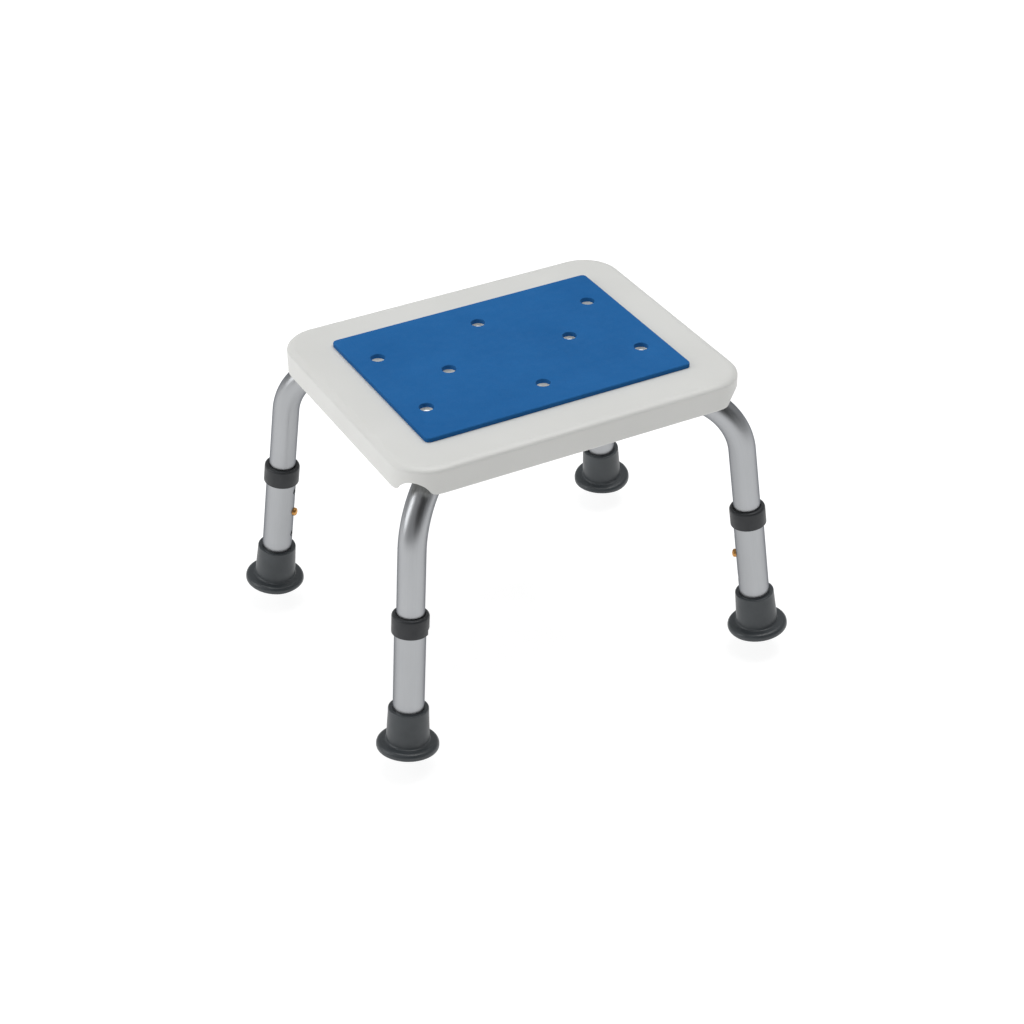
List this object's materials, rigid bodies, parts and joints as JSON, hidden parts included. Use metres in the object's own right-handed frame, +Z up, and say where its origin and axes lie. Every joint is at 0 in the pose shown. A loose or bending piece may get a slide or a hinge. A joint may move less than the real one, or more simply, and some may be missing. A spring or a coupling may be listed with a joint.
{
  "type": "shower stool",
  "caption": "Low rectangular shower stool: moulded seat with foam pad and drain holes on crossing bent tubes, with push-button adjustable splayed legs and flanged rubber feet.",
  "frame": {"origin": "on the floor, under the centre of the seat", "axes": "+X along the long side of the seat, +Y towards the back, +Z up"},
  "size_m": [0.434, 0.3566, 0.2828],
  "materials": {
    "seat_plastic": "fine satin moulded",
    "pad_foam": "closed-cell foam, matt with a faint sheen",
    "tube_aluminium": "satin anodised",
    "collar_plastic": "satin moulded",
    "foot_rubber": "matt",
    "button_brass": "polished",
    "insert_brass": "turned",
    "fastener_steel": "zinc plated"
  },
  "bodies": {
    "frame": {"seat": "seat_plastic", "seat_pad": "pad_foam", "upper_cross_tube": "tube_aluminium", "lower_cross_tube": "tube_aluminium", "centre_bolt": "fastener_steel", "centre_washers": "fastener_steel", "centre_nut": "fastener_steel", "seat_screws": "fastener_steel", "screw_washers": "fastener_steel", "threaded_inserts": "insert_brass", "button_spring_front_left": "fastener_steel", "button_spring_front_right": "fastener_steel", "button_spring_back_left": "fastener_steel", "button_spring_back_right": "fastener_steel"},
    "leg_front_left": {"extension_tube_front_left": "tube_aluminium", "collar_front_left": "collar_plastic", "foot_front_left": "foot_rubber", "foot_disc_front_left": "fastener_steel"},
    "leg_front_right": {"extension_tube_front_right": "tube_aluminium", "collar_front_right": "collar_plastic", "foot_front_right": "foot_rubber", "foot_disc_front_right": "fastener_steel"},
    "leg_back_left": {"extension_tube_back_left": "tube_aluminium", "collar_back_left": "collar_plastic", "foot_back_left": "foot_rubber", "foot_disc_back_left": "fastener_steel"},
    "leg_back_right": {"extension_tube_back_right": "tube_aluminium", "collar_back_right": "collar_plastic", "foot_back_right": "foot_rubber", "foot_disc_back_right": "fastener_steel"},
    "button_front_left": {"snap_button_front_left": "button_brass"},
    "button_front_right": {"snap_button_front_right": "button_brass"},
    "button_back_left": {"snap_button_back_left": "button_brass"},
    "button_back_right": {"snap_button_back_right": "button_brass"}
  },
  "joints": [
    {"name": "leg_slide_front_left", "type": "slide", "parent": "frame", "child": "leg_front_left", "axis": [-0.0935, -0.0743, -0.9928], "range_m": [-0.025, 0.025], "deforming": ["snap_button_front_left", "button_spring_front_left"]},
    {"name": "leg_slide_front_right", "type": "slide", "parent": "frame", "child": "leg_front_right", "axis": [0.0935, -0.0743, -0.9928], "range_m": [-0.025, 0.025], "deforming": ["snap_button_front_right", "button_spring_front_right"]},
    {"name": "leg_slide_back_left", "type": "slide", "parent": "frame", "child": "leg_back_left", "axis": [-0.0935, 0.0743, -0.9928], "range_m": [-0.025, 0.025], "deforming": ["snap_button_back_left", "button_spring_back_left"]},
    {"name": "leg_slide_back_right", "type": "slide", "parent": "frame", "child": "leg_back_right", "axis": [0.0935, 0.0743, -0.9928], "range_m": [-0.025, 0.025], "deforming": ["snap_button_back_right", "button_spring_back_right"]},
    {"name": "button_press_front_left", "type": "slide", "parent": "frame", "child": "button_front_left", "axis": [-0.7775, -0.6174, 0.1194], "range_m": [0, 0.005], "stiffness_N_per_m": 3000, "springref_m": -0.002, "deforming": ["button_spring_front_left"]},
    {"name": "button_press_front_right", "type": "slide", "parent": "frame", "child": "button_front_right", "axis": [0.7775, -0.6174, 0.1194], "range_m": [0, 0.005], "stiffness_N_per_m": 3000, "springref_m": -0.002, "deforming": ["button_spring_front_right"]},
    {"name": "button_press_back_left", "type": "slide", "parent": "frame", "child": "button_back_left", "axis": [-0.7775, 0.6174, 0.1194], "range_m": [0, 0.005], "stiffness_N_per_m": 3000, "springref_m": -0.002, "deforming": ["button_spring_back_left"]},
    {"name": "button_press_back_right", "type": "slide", "parent": "frame", "child": "button_back_right", "axis": [0.7775, 0.6174, 0.1194], "range_m": [0, 0.005], "stiffness_N_per_m": 3000, "springref_m": -0.002, "deforming": ["button_spring_back_right"]}
  ]
}
